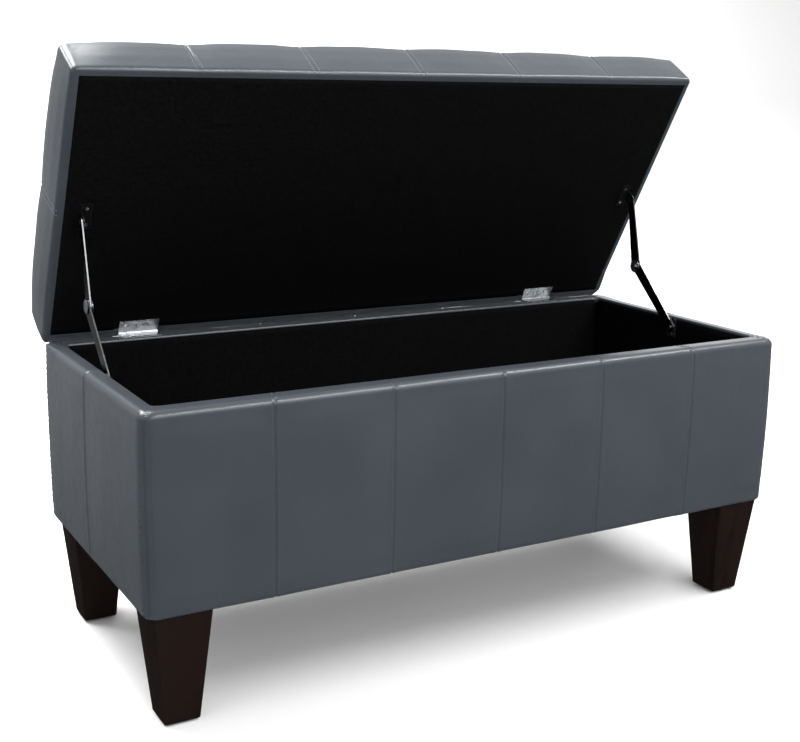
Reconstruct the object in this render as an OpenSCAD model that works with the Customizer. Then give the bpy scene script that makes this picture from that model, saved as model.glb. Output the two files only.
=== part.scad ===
// Upholstered storage bench: a lined box on four tapered legs, with a padded lid
// that swings up on two butt hinges and is held open by a folding stay at each end.
// Millimetres. X runs along the bench, Y to the back, Z up. The lid is drawn open.

/* [Overall] */
// length of the box over its cover
bench_length = 1067; // [800:1:1300]
// depth of the box over its cover
bench_depth = 460; // [360:1:560]
// floor to the underside of the box
leg_height = 161; // [100:1:220]
// height of the box over its cover
body_height = 276; // [200:1:360]
// how far the lid swings up from shut
open_angle = 61; // [50:1:75]

/* [Box walls] */
// thickness of the four wall boards
board_t = 18; // [12:1:22]
// thickness of the bottom board
bottom_t = 12; // [9:1:18]
// foam on the front wall
front_foam = 10; // [4:1:20]
// foam on the two end walls
side_foam = 5; // [3:1:16]
// foam on the rear wall
rear_foam = 5; // [3:1:10]
// thickness of the sewn cover
cover_t = 2; // [1.5:0.5:3]
// width of the cover turned under the box
return_w = 24; // [16:1:30]
// thickness of the cloth lining
lining_t = 2; // [1:0.5:3]
// thickness of the floor lining
floor_t = 1.5; // [1:0.5:3]
// side of each square block that takes a leg
leg_block_w = 110; // [90:1:130]
// thickness of each leg block
leg_block_h = 28; // [18:1:40]

/* [Legs] */
// width of a leg at its top
leg_top = 80; // [60:1:95]
// width of a leg at its foot
leg_foot = 50; // [36:1:70]
// leg top set in from the end of the box
leg_inset_x = 12; // [4:1:24]
// leg top set in from the front of the box
leg_inset_y = 6; // [2:1:20]
// radius of a foot glide
glide_r = 17; // [10:1:20]
// thickness of a foot glide
glide_t = 3; // [2:0.5:5]
// radius of the bolt that holds a leg
bolt_r = 4; // [3:0.5:5]
// length of that bolt inside the leg
bolt_in_leg = 50; // [30:1:60]

/* [Lid] */
// space left between box and shut lid
lid_gap = 4; // [4:0.5:8]
// depth of the lid
lid_depth = 458; // [350:1:560]
// thickness of the lid board
lid_board_t = 12; // [9:1:18]
// height of the lid at its edges
lid_edge_h = 74; // [50:1:100]
// height of the lid at its middle
lid_middle_h = 88; // [60:1:120]
// radius of the lid's corners
lid_corner_r = 20; // [8:1:35]
// width of the cover turned under the lid
lid_return_w = 16; // [12:1:30]

/* [Hinges] */
// length of a hinge
hinge_l = 63.5; // [50:0.5:90]
// middle of a hinge from the middle of the bench
hinge_x = 384; // [250:1:450]
// width of one leaf from the pin
leaf_w = 24; // [20:1:30]
// thickness of a leaf
leaf_t = 1.5; // [1:0.25:2]
// radius of the hinge pin
pin_r = 1.3; // [1:0.1:1.8]
// radius of the rolled knuckles
knuckle_r = 3; // [2.6:0.1:3.6]

/* [Lid stays] */
// lower pivot in front of the hinge pin
stay_low_y = 242; // [200:1:280]
// lower pivot below the hinge pin
stay_low_z = 21; // [18:1:40]
// lid pivot along the lid from the hinge pin
stay_lid_y = 226; // [180:1:260]
// lid pivot below the hinge pin with the lid shut
stay_lid_z = 11; // [9:1:16]
// length of both arms together, as a share of the distance between their outer pivots when open
arms_share = 1.048; // [1.02:0.001:1.06]
// share of that length in the lower arm
lower_share = 0.531; // [0.51:0.001:0.535]
// thickness of the stay's plates
plate_t = 2; // [1.5:0.5:3]
// gap between two plates that slide past each other
plate_gap = 0.3; // [0.2:0.1:0.6]
// radius of an arm's end at the elbow
elbow_r = 11; // [8:0.5:13]
// radius of the lower arm's end at the box
low_end_r = 8; // [6:0.5:9]
// radius of the upper arm's end at the lid
lid_end_r = 7; // [6:0.5:8]
// radius of a stay rivet
rivet_r = 2.5; // [2:0.25:3]
// running clearance of a pin in its hole
run_gap = 0.05; // [0.02:0.01:0.08]

/* [Screws] */
// radius of a wood screw's shank
screw_r = 1.8; // [1.5:0.1:2]
// radius of its flat head
screw_head_r = 3.4; // [3:0.1:3.6]
// length of a screw
screw_l = 14; // [10:1:16]

/* [Hidden] */
$fn = 64;
seat_gap = 0.05;
lid_turn = -open_angle;

half_l = bench_length / 2;
half_d = bench_depth / 2;
top_z = leg_height + body_height;

// wall planes, measured from the middle of the box
wall_end = cover_t + side_foam + board_t + lining_t;
wall_front = cover_t + front_foam + board_t + lining_t;
wall_rear = cover_t + rear_foam + board_t + lining_t;
end_out = half_l - cover_t - side_foam;
end_in = end_out - board_t;
front_out = -half_d + cover_t + front_foam;
front_in = front_out + board_t;
rear_out = half_d - cover_t - rear_foam;
rear_in = rear_out - board_t;
room_x = end_in - lining_t;
room_front = front_in + lining_t;
room_rear = rear_in - lining_t;

// levels of the box, from the bottom up
board_z = leg_height + cover_t;
bottom_z = board_z + leg_block_h;
floor_z = bottom_z + bottom_t;
board_top = top_z - cover_t;

// hinge pin, just clear of the rear face and halfway up the gap under the lid
pin_clear = 0.2;
pin_y = half_d + knuckle_r + pin_clear;
pin_z = top_z + lid_gap / 2;
leaf_drop = lid_gap / 2 - leaf_t;

// the lid is drawn from its underside, with Y measured from the hinge pin
lid_back = -(knuckle_r + pin_clear);
lid_front = lid_back - lid_depth;
lid_mid = (lid_back + lid_front) / 2;
crown = lid_middle_h - lid_edge_h;

// the whole part is moved back so that its open outline is centred
back_reach = pin_y + lid_back * cos(open_angle) + (lid_gap / 2 + lid_edge_h) * sin(open_angle);
shift_y = -(back_reach - half_d) / 2;

// stay pivots and elbow in the YZ plane, measured from the hinge pin, lid open
low_p = [-stay_low_y, -stay_low_z];
lid_p = [-stay_lid_y * cos(open_angle) - stay_lid_z * sin(open_angle),
         stay_lid_y * sin(open_angle) - stay_lid_z * cos(open_angle)];
span_v = lid_p - low_p;
span = norm(span_v);
lower_arm_l = span * arms_share * lower_share;
upper_arm_l = span * arms_share * (1 - lower_share);
along = (lower_arm_l * lower_arm_l - upper_arm_l * upper_arm_l + span * span) / (2 * span);
across = sqrt(lower_arm_l * lower_arm_l - along * along);
span_u = span_v / span;
elbow_p = low_p + along * span_u + across * [span_u[1], -span_u[0]];
lower_turn = atan2(elbow_p[1] - low_p[1], elbow_p[0] - low_p[0]);
upper_turn = atan2(elbow_p[1] - lid_p[1], elbow_p[0] - lid_p[0]);

// X planes of the stay's plates, from the end wall inwards
bracket_x = room_x - plate_t;
lower_x = bracket_x - plate_gap - plate_t;
upper_x = lower_x - plate_gap - plate_t;
tab_x = upper_x - plate_gap - plate_t;
stay_screw_x = tab_x - 8;
flange_w = 16;
boss_t = 1.4;

leg_x = half_l - leg_inset_x - leg_top / 2;
leg_y = half_d - leg_inset_y - leg_top / 2;
screw_pitch = 22;
leaf_screw_y = leaf_w - 9;

// ---------- helpers ----------
// moves a piece so that the open bench is centred
module at_origin() translate([0, shift_y, 0]) children();

// box from low corner to high corner
module block(lo, hi) {
  translate(lo) cube(hi - lo);
}

// square with rounded corners
module round_square(x, y, r) {
  square([x - 2 * r, y], center = true);
  square([x, y - 2 * r], center = true);
  for (sx = [-1, 1]) for (sy = [-1, 1])
    translate([sx * (x / 2 - r), sy * (y / 2 - r)]) circle(r);
}

// closed solid with a top that falls away to all four edges
module crowned(x, y, r, low, high, side_drop) {
  bend_x = (x * x / 4 + side_drop * side_drop) / (2 * side_drop);
  bend_y = (y * y / 4 + side_drop * side_drop) / (2 * side_drop);
  intersection() {
    translate([0, 0, low]) linear_extrude(high - low) round_square(x, y, r);
    translate([0, 0, high - bend_x]) rotate([90, 0, 0])
      cylinder(r = bend_x, h = 2 * y, center = true, $fn = 400);
    translate([0, 0, high - bend_y]) rotate([0, 90, 0])
      cylinder(r = bend_y, h = 2 * x, center = true, $fn = 400);
  }
}

// flat mitred strip along one wall: outer half length, its line, inner half length, its line
module mitre_strip(out_h, out_line, in_h, in_line, z, t) {
  translate([0, 0, z]) linear_extrude(t)
    polygon([[-out_h, out_line], [out_h, out_line], [in_h, in_line], [-in_h, in_line]]);
}

module end_strip(out_x, front_y, rear_y, in_x, in_front, in_rear, z, t) {
  translate([0, 0, z]) linear_extrude(t)
    polygon([[out_x, front_y], [out_x, rear_y], [in_x, in_rear], [in_x, in_front]]);
}

// places a child that is drawn in the lid's own frame
module on_lid() {
  translate([0, pin_y, pin_z]) rotate([lid_turn, 0, 0]) translate([0, 0, lid_gap / 2]) children();
}

// flat-headed screw, head up at z = 0, shank down
module wood_screw(extra) {
  cylinder(r = screw_r + extra, h = 2 * screw_l, center = true);
  translate([0, 0, -leaf_t]) cylinder(r1 = screw_r + extra, r2 = screw_head_r + extra, h = leaf_t);
}

module solid_screw() {
  intersection() {
    wood_screw(0);
    translate([0, 0, -screw_l]) cylinder(r = screw_head_r + 1, h = screw_l);
  }
}

// tapered plate between two pivots, first pivot at the origin, second along +Y
module arm_plate(length, r_near, r_far) {
  cylinder(r = r_near, h = plate_t);
  translate([0, length, 0]) cylinder(r = r_far, h = plate_t);
  linear_extrude(plate_t)
    polygon([[-r_near, 0], [r_near, 0], [r_far, length], [-r_far, length]]);
}

// turns a plate drawn in XY, with +Y along the arm, upright into a YZ plane at x
module in_stay_plane(x, p, turn) {
  translate([x, pin_y + p[0], pin_z + p[1]]) rotate([turn, 0, 0])
    rotate([90, 0, 90]) rotate([0, 0, -90]) children();
}

// rivet with a flat countersunk end, lying along +X from its root
module rivet(extra, root_x, end_x) {
  length = end_x - root_x;
  sink = plate_t * 0.6;
  rotate([0, 90, 0]) {
    cylinder(r = rivet_r + extra, h = length);
    translate([0, 0, length - sink]) cylinder(r1 = rivet_r + extra, r2 = rivet_r + 1.5 + extra, h = sink);
  }
}

module each_leg() {
  for (sx = [-1, 1]) for (sy = [-1, 1]) translate([sx * leg_x, sy * leg_y, 0]) children();
}

// ---------- box boards ----------
module front_panel() color("burlywood") at_origin()
  block([-end_out, front_out, board_z], [end_out, front_in, board_top]);

module rear_panel() color("burlywood") at_origin() difference() {
  block([-end_out, rear_in, board_z], [end_out, rear_out, board_top]);
  hinge_screw_holes_box();
}

module end_panel(s) difference() {
  if (s > 0) block([end_in, front_in, board_z], [end_out, rear_in, board_top]);
  else block([-end_out, front_in, board_z], [-end_in, rear_in, board_top]);
  stay_screw_holes_box();
}

module left_panel() color("burlywood") at_origin() end_panel(-1);
module right_panel() color("burlywood") at_origin() end_panel(1);

module bottom_panel() color("burlywood") at_origin() difference() {
  block([-end_in, front_in, bottom_z], [end_in, rear_in, floor_z]);
  each_leg() translate([0, 0, bottom_z - 1]) cylinder(r = bolt_r + 1, h = 5);
}

// block in one corner under the bottom board
module leg_block(sx, sy) {
  x_out = sx * end_in;
  x_far = sx * (end_in - leg_block_w);
  y_out = sy > 0 ? rear_in : front_in;
  y_far = y_out - sy * leg_block_w;
  difference() {
    block([min(x_out, x_far), min(y_out, y_far), board_z], [max(x_out, x_far), max(y_out, y_far), bottom_z]);
    each_leg() translate([0, 0, board_z - 1]) cylinder(r = bolt_r + seat_gap, h = leg_block_h + 2);
    each_leg() tee_nut_space(seat_gap);
  }
}

module leg_block_front_left() color("tan") at_origin() leg_block(-1, -1);
module leg_block_front_right() color("tan") at_origin() leg_block(1, -1);
module leg_block_rear_left() color("tan") at_origin() leg_block(-1, 1);
module leg_block_rear_right() color("tan") at_origin() leg_block(1, 1);

// ---------- box padding and cover ----------
module foam_front() color("khaki") at_origin()
  block([-end_out, -half_d + cover_t, board_z], [end_out, front_out, board_top]);

module foam_rear() color("khaki") at_origin()
  block([-end_out, rear_out, board_z], [end_out, half_d - cover_t, board_top]);

module foam_left() color("khaki") at_origin()
  block([-half_l + cover_t, -half_d + cover_t, board_z], [-end_out, half_d - cover_t, board_top]);

module foam_right() color("khaki") at_origin()
  block([end_out, -half_d + cover_t, board_z], [half_l - cover_t, half_d - cover_t, board_top]);

module cover_front() color("slategray") at_origin() {
  mitre_strip(half_l, -half_d, room_x, room_front, board_top, cover_t);
  block([-half_l, -half_d, board_z], [half_l, -half_d + cover_t, board_top]);
  mitre_strip(half_l, -half_d, half_l - return_w, -half_d + return_w, leg_height, cover_t);
}

module cover_rear() color("slategray") at_origin() difference() {
  union() {
    mitre_strip(half_l, half_d, room_x, room_rear, board_top, cover_t);
    block([-half_l, half_d - cover_t, board_z], [half_l, half_d, board_top]);
    mitre_strip(half_l, half_d, half_l - return_w, half_d - return_w, leg_height, cover_t);
  }
  hinge_screw_holes_box();
}

module cover_end(s) {
  end_strip(s * half_l, -half_d, half_d, s * room_x, room_front, room_rear, board_top, cover_t);
  if (s > 0) block([half_l - cover_t, -half_d + cover_t, board_z], [half_l, half_d - cover_t, board_top]);
  else block([-half_l, -half_d + cover_t, board_z], [-half_l + cover_t, half_d - cover_t, board_top]);
  end_strip(s * half_l, -half_d, half_d, s * (half_l - return_w), -half_d + return_w, half_d - return_w,
            leg_height, cover_t);
}

module cover_left() color("slategray") at_origin() cover_end(-1);
module cover_right() color("slategray") at_origin() cover_end(1);

// ---------- lining ----------
module lining_front() color("dimgray") at_origin()
  block([-end_in, front_in, floor_z], [end_in, room_front, board_top]);

module lining_rear() color("dimgray") at_origin()
  block([-end_in, room_rear, floor_z], [end_in, rear_in, board_top]);

module lining_end(s) difference() {
  if (s > 0) block([room_x, room_front, floor_z], [end_in, room_rear, board_top]);
  else block([-end_in, room_front, floor_z], [-room_x, room_rear, board_top]);
  stay_screw_holes_box();
}

module lining_left() color("dimgray") at_origin() lining_end(-1);
module lining_right() color("dimgray") at_origin() lining_end(1);

module lining_floor() color("dimgray") at_origin()
  block([-room_x, room_front, floor_z], [room_x, room_rear, floor_z + floor_t]);

// thin cloth that closes the underside between the turned edges of the cover
module dust_cover() color("dimgray") at_origin() difference() {
  block([-half_l + return_w, -half_d + return_w, board_z - floor_t],
    [half_l - return_w, half_d - return_w, board_z]);
  each_leg() translate([0, 0, leg_height - 1]) cylinder(r = bolt_r + 0.2, h = cover_t + 2);
}

// ---------- legs ----------
module leg_body() difference() {
  intersection() {
    translate([0, leg_top, 0]) rotate([90, 0, 0]) linear_extrude(2 * leg_top) leg_outline();
    rotate([90, 0, 90]) translate([0, 0, -leg_top]) linear_extrude(2 * leg_top) leg_outline();
  }
  translate([0, 0, leg_height - bolt_in_leg - 1]) cylinder(r = bolt_r + seat_gap, h = bolt_in_leg + 2);
  glide_shape(seat_gap);
}

module leg_outline() polygon([
  [-leg_foot / 2, glide_t], [leg_foot / 2, glide_t], [leg_top / 2, leg_height], [-leg_top / 2, leg_height]
]);

// foot glide: a disc with a nail driven up into the leg
module glide_shape(extra) {
  cylinder(r = glide_r, h = glide_t);
  cylinder(r = 2 + extra, h = glide_t + 14);
}

module leg_front_left() color("saddlebrown") at_origin() translate([-leg_x, -leg_y, 0]) leg_body();
module leg_front_right() color("saddlebrown") at_origin() translate([leg_x, -leg_y, 0]) leg_body();
module leg_rear_left() color("saddlebrown") at_origin() translate([-leg_x, leg_y, 0]) leg_body();
module leg_rear_right() color("saddlebrown") at_origin() translate([leg_x, leg_y, 0]) leg_body();

module leg_glides() color("black") at_origin() each_leg() glide_shape(0);

module leg_bolts() color("silver") at_origin() each_leg()
  translate([0, 0, leg_height - bolt_in_leg]) cylinder(r = bolt_r, h = bolt_in_leg + cover_t + leg_block_h);

module tee_nut_space(extra) {
  translate([0, 0, bottom_z - 1.5]) cylinder(r = 10, h = 1.5 + extra);
  translate([0, 0, bottom_z - 12]) cylinder(r = bolt_r + 1.2 + extra, h = 12);
}

module leg_tee_nuts() color("silver") at_origin() each_leg() difference() {
  tee_nut_space(0);
  translate([0, 0, board_z - 1]) cylinder(r = bolt_r + seat_gap, h = leg_block_h + 2);
}

// ---------- lid ----------
module lid_board() color("burlywood") at_origin() on_lid() difference() {
  translate([0, lid_mid, cover_t]) linear_extrude(lid_board_t)
    round_square(bench_length - 2 * cover_t, lid_depth - 2 * cover_t, lid_corner_r - cover_t);
  hinge_screw_holes_lid();
  stay_screw_holes_lid();
}

module lid_inside(low)
  translate([0, lid_mid, 0]) crowned(bench_length - 2 * cover_t, lid_depth - 2 * cover_t,
    lid_corner_r - cover_t, low, lid_middle_h - cover_t, crown);

module lid_foam() color("khaki") at_origin() on_lid() lid_inside(cover_t + lid_board_t);

module lid_cover() color("slategray") at_origin() on_lid() difference() {
  translate([0, lid_mid, 0]) crowned(bench_length, lid_depth, lid_corner_r, 0, lid_middle_h, crown);
  lid_inside(cover_t);
  translate([0, lid_mid, -1]) linear_extrude(cover_t + 2)
    square([bench_length - 2 * lid_return_w, lid_depth - 2 * lid_return_w], center = true);
  hinge_screw_holes_lid();
}

module lid_lining() color("dimgray") at_origin() on_lid() difference() {
  translate([0, lid_mid, cover_t - floor_t]) linear_extrude(floor_t)
    square([bench_length - 2 * lid_return_w, lid_depth - 2 * lid_return_w], center = true);
  hinge_screw_holes_lid();
  stay_screw_holes_lid();
}

// ---------- hinges ----------
// one leaf with its rolled knuckles, pin at the origin, leaf lying to -Y above (lid) or below (box)
module hinge_leaf(side, knuckles, hole) {
  cell = hinge_l / 5;
  slot = 0.25;
  leaf_z = side > 0 ? leaf_drop : -leaf_drop - leaf_t;
  difference() {
    union() {
      block([-hinge_l / 2, -leaf_w, leaf_z], [hinge_l / 2, 0, leaf_z + leaf_t]);
      for (k = knuckles) translate([-hinge_l / 2 + k * cell + slot, 0, 0]) rotate([0, 90, 0])
        cylinder(r = knuckle_r, h = cell - 2 * slot);
    }
    for (k = [0 : 4]) if (len(search(k, knuckles)) == 0)
      translate([-hinge_l / 2 + k * cell - slot, -knuckle_r - 0.3, -knuckle_r - 1])
        cube([cell + 2 * slot, 2 * knuckle_r + 1, 2 * knuckle_r + 2]);
    rotate([0, 90, 0]) cylinder(r = hole, h = hinge_l + 2, center = true);
    for (k = [-1 : 1]) translate([k * screw_pitch, -leaf_screw_y, leaf_z + (side > 0 ? 0 : leaf_t)])
      rotate([side > 0 ? 180 : 0, 0, 0]) wood_screw(seat_gap);
  }
}

module at_hinge_box(s) translate([s * hinge_x, pin_y, pin_z]) children();
module at_hinge_lid(s) translate([s * hinge_x, pin_y, pin_z]) rotate([lid_turn, 0, 0]) children();

module hinge_left_box_leaf() color("gainsboro") at_origin()
  at_hinge_box(-1) hinge_leaf(-1, [0, 2, 4], pin_r + seat_gap / 5);

module hinge_right_box_leaf() color("gainsboro") at_origin()
  at_hinge_box(1) hinge_leaf(-1, [0, 2, 4], pin_r + seat_gap / 5);

module hinge_left_lid_leaf() color("gainsboro") at_origin()
  at_hinge_lid(-1) hinge_leaf(1, [1, 3], pin_r + run_gap);

module hinge_right_lid_leaf() color("gainsboro") at_origin()
  at_hinge_lid(1) hinge_leaf(1, [1, 3], pin_r + run_gap);

module hinge_pins() color("silver") at_origin() for (s = [-1, 1]) at_hinge_box(s)
  rotate([0, 90, 0]) cylinder(r = pin_r, h = hinge_l, center = true);

module box_screw_spots() for (s = [-1, 1]) for (k = [-1 : 1])
  translate([s * hinge_x + k * screw_pitch, pin_y - leaf_screw_y, top_z + leaf_t]) children();

module lid_screw_spots() for (s = [-1, 1]) for (k = [-1 : 1])
  translate([s * hinge_x + k * screw_pitch, -leaf_screw_y, -leaf_t]) rotate([180, 0, 0]) children();

module hinge_screws_box() color("silver") at_origin() box_screw_spots() solid_screw();
module hinge_screws_lid() color("silver") at_origin() on_lid() lid_screw_spots() solid_screw();

module hinge_screw_holes_box() box_screw_spots()
  translate([0, 0, -screw_l - 1]) cylinder(r = screw_r + seat_gap, h = screw_l + 2);

module hinge_screw_holes_lid() lid_screw_spots()
  translate([0, 0, -screw_l - 1]) cylinder(r = screw_r + seat_gap, h = screw_l + 2);

// ---------- lid stays ----------
bracket_low = 17;
bracket_high = 16;
bracket_half = 11;
screw_low = [-5, -11];
screw_high = [3, 11];

module box_bracket(s) difference() {
  in_side(s) translate([0, pin_y + low_p[0], pin_z + low_p[1]])
    block([bracket_x, -bracket_half, -bracket_low], [room_x, bracket_half, bracket_high]);
  in_side(s) translate([bracket_x - 1, pin_y + low_p[0], pin_z + low_p[1]])
    rotate([0, 90, 0]) cylinder(r = rivet_r, h = plate_t + 2);
  stay_box_screw_spots() wood_screw(seat_gap);
}

// mirrors a child drawn for the right end to the left end
module in_side(s) {
  if (s > 0) children();
  else mirror([1, 0, 0]) children();
}

module stay_box_screw_spots() for (s = [-1, 1]) in_side(s)
  for (p = [screw_low, screw_high])
    translate([bracket_x, pin_y + low_p[0] + p[0], pin_z + low_p[1] + p[1]]) rotate([0, -90, 0]) children();

module stay_screw_holes_box() stay_box_screw_spots()
  translate([0, 0, -screw_l - 1]) cylinder(r = screw_r + seat_gap, h = screw_l + 2);

module stay_left_box_bracket() color("silver") at_origin() box_bracket(-1);
module stay_right_box_bracket() color("silver") at_origin() box_bracket(1);

// lower arm with a boss on its outer face at the elbow
module lower_arm(s) in_side(s) difference() {
  union() {
    in_stay_plane(lower_x, low_p, lower_turn) arm_plate(lower_arm_l, low_end_r, elbow_r);
    translate([lower_x, pin_y + elbow_p[0], pin_z + elbow_p[1]])
      rotate([0, 90, 0]) cylinder(r = elbow_r - 4, h = plate_t + boss_t);
  }
  translate([bracket_x, pin_y + low_p[0], pin_z + low_p[1]])
    mirror([1, 0, 0]) rivet(run_gap, 0, plate_t + plate_gap);
}

module stay_left_lower_arm() color("gray") at_origin() lower_arm(-1);
module stay_right_lower_arm() color("gray") at_origin() lower_arm(1);

// upper arm with a boss on its inner face at the elbow
module upper_arm(s) in_side(s) difference() {
  union() {
    in_stay_plane(upper_x, lid_p, upper_turn) arm_plate(upper_arm_l, lid_end_r, elbow_r);
    translate([upper_x - boss_t, pin_y + elbow_p[0], pin_z + elbow_p[1]])
      rotate([0, 90, 0]) cylinder(r = elbow_r - 3, h = plate_t + boss_t);
  }
  translate([tab_x + plate_t, pin_y + lid_p[0], pin_z + lid_p[1]])
    rivet(run_gap, 0, plate_t + plate_gap);
}

module stay_left_upper_arm() color("gray") at_origin() upper_arm(-1);
module stay_right_upper_arm() color("gray") at_origin() upper_arm(1);

// angle bracket under the lid: a flange with two screws and a tab that takes the rivet
lid_bracket_half = 22;
tab_half = 9;

module lid_bracket(s) on_lid() difference() {
  in_side(s) union() {
    block([tab_x - flange_w, -stay_lid_y - lid_bracket_half, -plate_t],
          [tab_x + plate_t, -stay_lid_y + lid_bracket_half, 0]);
    block([tab_x, -stay_lid_y - tab_half, -stay_lid_z - lid_gap / 2],
          [tab_x + plate_t, -stay_lid_y + tab_half, 0]);
    translate([tab_x, -stay_lid_y, -stay_lid_z - lid_gap / 2]) rotate([0, 90, 0])
      cylinder(r = tab_half, h = plate_t);
  }
  in_side(s) translate([tab_x - 1, -stay_lid_y, -stay_lid_z - lid_gap / 2])
    rotate([0, 90, 0]) cylinder(r = rivet_r, h = plate_t + 2);
  stay_lid_screw_spots() wood_screw(seat_gap);
}

module stay_left_lid_bracket() color("silver") at_origin() lid_bracket(-1);
module stay_right_lid_bracket() color("silver") at_origin() lid_bracket(1);

module stay_lid_screw_spots() for (s = [-1, 1]) in_side(s) for (k = [-1, 1])
  translate([stay_screw_x, -stay_lid_y + k * 14, -plate_t]) rotate([180, 0, 0]) children();

module stay_screw_holes_lid() stay_lid_screw_spots()
  translate([0, 0, -screw_l - 1]) cylinder(r = screw_r + seat_gap, h = screw_l + 2);

module stay_rivets_box() color("gainsboro") at_origin() for (s = [-1, 1]) in_side(s)
  translate([room_x, pin_y + low_p[0], pin_z + low_p[1]])
    mirror([1, 0, 0]) rivet(0, 0, 2 * plate_t + plate_gap);

module stay_rivets_lid() color("gainsboro") at_origin() for (s = [-1, 1]) in_side(s)
  translate([tab_x, pin_y + lid_p[0], pin_z + lid_p[1]]) rivet(0, 0, 2 * plate_t + plate_gap);

module stay_screws_box() color("silver") at_origin() stay_box_screw_spots() solid_screw();
module stay_screws_lid() color("silver") at_origin() on_lid() stay_lid_screw_spots() solid_screw();

// ---------- the part ----------
front_panel();
rear_panel();
left_panel();
right_panel();
bottom_panel();
leg_block_front_left();
leg_block_front_right();
leg_block_rear_left();
leg_block_rear_right();
foam_front();
foam_rear();
foam_left();
foam_right();
cover_front();
cover_rear();
cover_left();
cover_right();
lining_front();
lining_rear();
lining_left();
lining_right();
lining_floor();
dust_cover();
leg_front_left();
leg_front_right();
leg_rear_left();
leg_rear_right();
leg_glides();
leg_bolts();
leg_tee_nuts();
lid_board();
lid_foam();
lid_cover();
lid_lining();
hinge_left_box_leaf();
hinge_right_box_leaf();
hinge_left_lid_leaf();
hinge_right_lid_leaf();
hinge_pins();
hinge_screws_box();
hinge_screws_lid();
stay_left_box_bracket();
stay_right_box_bracket();
stay_left_lower_arm();
stay_right_lower_arm();
stay_left_upper_arm();
stay_right_upper_arm();
stay_left_lid_bracket();
stay_right_lid_bracket();
stay_rivets_box();
stay_rivets_lid();
stay_screws_box();
stay_screws_lid();
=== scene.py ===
import math
import bpy
import bmesh
import numpy as np
from mathutils import Matrix, Vector


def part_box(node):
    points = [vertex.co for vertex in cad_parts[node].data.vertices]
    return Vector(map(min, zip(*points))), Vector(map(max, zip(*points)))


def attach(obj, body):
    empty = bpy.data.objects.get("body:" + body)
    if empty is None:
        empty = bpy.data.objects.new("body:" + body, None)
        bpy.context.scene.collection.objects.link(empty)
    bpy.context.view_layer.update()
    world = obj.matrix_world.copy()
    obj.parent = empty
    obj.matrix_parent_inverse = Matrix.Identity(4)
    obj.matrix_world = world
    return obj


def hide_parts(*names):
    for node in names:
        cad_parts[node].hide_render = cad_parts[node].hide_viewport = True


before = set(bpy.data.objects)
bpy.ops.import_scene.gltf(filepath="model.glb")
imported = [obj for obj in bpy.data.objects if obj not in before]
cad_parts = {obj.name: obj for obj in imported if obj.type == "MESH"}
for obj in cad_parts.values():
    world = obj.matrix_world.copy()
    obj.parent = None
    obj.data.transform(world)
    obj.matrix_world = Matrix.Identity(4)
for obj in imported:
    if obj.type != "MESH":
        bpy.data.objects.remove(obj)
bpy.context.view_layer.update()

# ------------------------------------------------------------------ wall, bottom and lid boards
# Plywood and block boards glued and stapled into a box, with a block in each bottom corner for a leg.
# They are covered all over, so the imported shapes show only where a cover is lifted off.


def new_material(name, colour, rough, metal=0.0):
    """An empty procedural material and its shader."""
    mat = bpy.data.materials.new(name)
    mat.use_nodes = True
    mat.diffuse_color = (*colour, 1)
    shader = mat.node_tree.nodes["Principled BSDF"]
    shader.inputs["Base Color"].default_value = (*colour, 1)
    shader.inputs["Roughness"].default_value = rough
    shader.inputs["Metallic"].default_value = metal
    return mat, shader


def add_node(mat, kind, inputs=None, **settings):
    """A node whose inputs are values or other nodes' sockets."""
    node = mat.node_tree.nodes.new(kind)
    for key, value in settings.items():
        setattr(node, key, value)
    for key, value in (inputs or {}).items():
        if isinstance(value, bpy.types.NodeSocket):
            mat.node_tree.links.new(value, node.inputs[key])
        else:
            node.inputs[key].default_value = value
    return node


def place(mat, scale=(1, 1, 1), turn=(0, 0, 0)):
    """Object coordinates in metres, stretched and turned."""
    coords = add_node(mat, "ShaderNodeTexCoord")
    return add_node(mat, "ShaderNodeMapping",
                    {0: coords.outputs["Object"], "Scale": scale, "Rotation": turn}).outputs[0]


def noise(mat, where, scale, detail=4.0, rough=0.55):
    """Cloudy pattern from 0 to 1."""
    return add_node(mat, "ShaderNodeTexNoise",
                    {"Vector": where, "Scale": scale, "Detail": detail, "Roughness": rough}).outputs["Fac"]


def ramp(mat, fac, low, high, colour_low, colour_high):
    """Runs from one colour to another as fac goes from low to high."""
    node = add_node(mat, "ShaderNodeValToRGB", {"Fac": fac})
    band = node.color_ramp.elements
    band[0].position, band[1].position = low, high
    band[0].color, band[1].color = (*colour_low, 1), (*colour_high, 1)
    return node.outputs["Color"]


def spread(mat, fac, low, high, to_low, to_high):
    """Stretches low to high out to to_low to to_high."""
    return add_node(mat, "ShaderNodeMapRange",
                    {0: fac, 1: low, 2: high, 3: to_low, 4: to_high}).outputs[0]


def bump(mat, height, strength, distance, under=None):
    """Fine relief, on top of another where one is given."""
    inputs = {"Height": height, "Strength": strength, "Distance": distance}
    if under is not None:
        inputs["Normal"] = under
    return add_node(mat, "ShaderNodeBump", inputs).outputs["Normal"]


def feed(mat, shader, **sockets):
    """Links sockets to the shader's inputs, with spaces written as underscores."""
    for key, value in sockets.items():
        mat.node_tree.links.new(value, shader.inputs[key.replace("_", " ")])


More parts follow.
